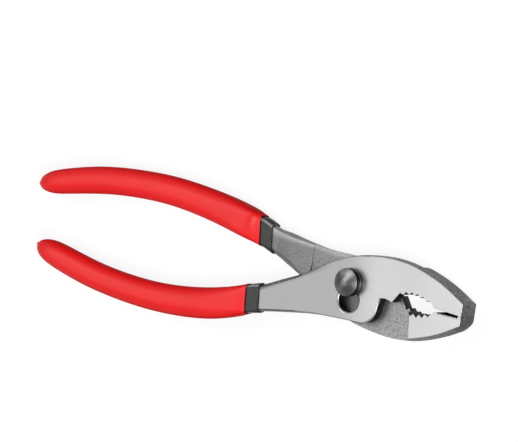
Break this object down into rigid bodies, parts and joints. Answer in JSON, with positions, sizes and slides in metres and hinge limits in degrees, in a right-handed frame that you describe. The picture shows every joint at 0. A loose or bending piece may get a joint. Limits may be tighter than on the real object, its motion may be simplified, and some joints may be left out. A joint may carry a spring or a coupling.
{
  "type": "slip joint pliers",
  "caption": "Slip joint pliers: forged levers that turn and slide on a bolt in a slot, with curved pipe teeth behind flat jaws, a wire notch and thick dipped grips.",
  "frame": {"origin": "on the pivot axis, in the outer face of the nut and the end of the bolt, which the pliers rest on when laid down with the bolt head up", "axes": "+X along the pliers to the nose, +Z along the pivot axis towards the bolt head, +Y towards the handle that is upper in the picture; the jaws are closed and the bolt is in the narrow position"},
  "size_m": [0.2029, 0.0506, 0.0172],
  "materials": {
    "ground_steel": "drop-forged carbon steel: outer faces ground to a satin, the rest left as shot-blasted forging",
    "dark_steel": "polished and oil-blackened",
    "black_vinyl": "thin satin dip coat",
    "red_vinyl": "thick satin dip coat"
  },
  "bodies": {
    "front_lever": {"front_lever": "ground_steel", "lower_grip_liner": "black_vinyl", "lower_grip_sleeve": "red_vinyl"},
    "pivot": {"pivot_bolt": "dark_steel", "pivot_nut": "dark_steel"},
    "back_lever": {"back_lever": "ground_steel", "upper_grip_liner": "black_vinyl", "upper_grip_sleeve": "red_vinyl"}
  },
  "joints": [
    {"name": "slip", "type": "slide", "parent": "front_lever", "child": "pivot", "axis": [0, -1, 0], "range_m": [0, 0.0066]},
    {"name": "jaw", "type": "hinge", "parent": "pivot", "child": "back_lever", "pos_m": [0, 0, 0.00785], "axis": [0, 0, -1], "range_deg": [0, 50]}
  ]
}
